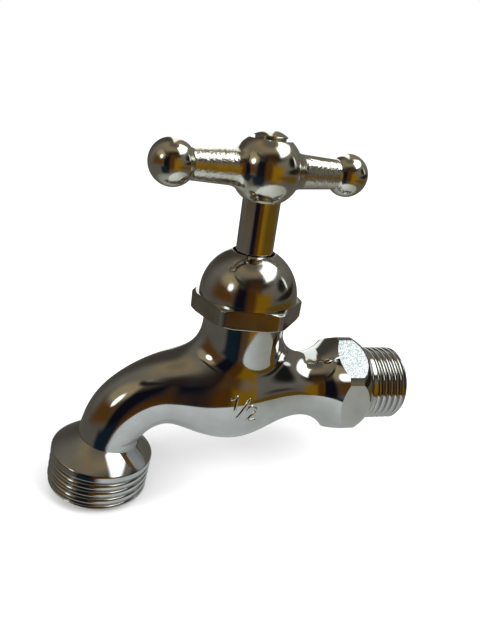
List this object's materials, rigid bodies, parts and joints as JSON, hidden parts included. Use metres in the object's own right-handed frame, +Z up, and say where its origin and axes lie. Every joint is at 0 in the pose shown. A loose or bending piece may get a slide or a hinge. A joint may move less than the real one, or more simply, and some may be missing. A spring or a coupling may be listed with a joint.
{
  "type": "bib tap",
  "caption": "Half-inch bib tap with a T handle, a domed cap nut, a curved spout and a male hose thread.",
  "frame": {"origin": "on the inlet axis, at the flat shoulder of the collar where the pipe thread begins", "axes": "+X out of the inlet towards the wall, +Z up along the stem"},
  "size_m": [0.0981, 0.0282, 0.0978],
  "materials": {
    "cast_chrome": "chrome plate over a polished brass casting",
    "stem_chrome": "chrome plate over turned brass",
    "handle_chrome": "chrome plate over a lightly polished casting",
    "bare_brass": "turned, unplated",
    "black_rubber": "matt moulded rubber"
  },
  "bodies": {
    "body": {"tap_body": "cast_chrome", "dome_cap_nut": "cast_chrome", "packing_washer": "bare_brass", "stem_packing": "black_rubber", "gland_ring": "bare_brass"},
    "jumper": {"jumper_valve": "bare_brass", "seat_washer": "black_rubber", "seat_washer_plate": "bare_brass", "seat_washer_nut": "bare_brass"},
    "stem": {"spindle": "stem_chrome", "t_handle": "handle_chrome", "handle_lock_washer": "stem_chrome", "handle_screw": "stem_chrome"}
  },
  "joints": [
    {"name": "valve_lift", "type": "slide", "parent": "body", "child": "jumper", "axis": [0, 0, 1], "range_m": [0, 0.00625]},
    {"name": "handle_turn", "type": "hinge", "parent": "jumper", "child": "stem", "pos_m": [-0.0376, 0, 0.0585], "axis": [0, 0, 1], "range_deg": [0, 900]}
  ],
  "couplings": [
    {"joint": "valve_lift", "follows": "handle_turn", "m_per_rad": 0.00039789}
  ]
}
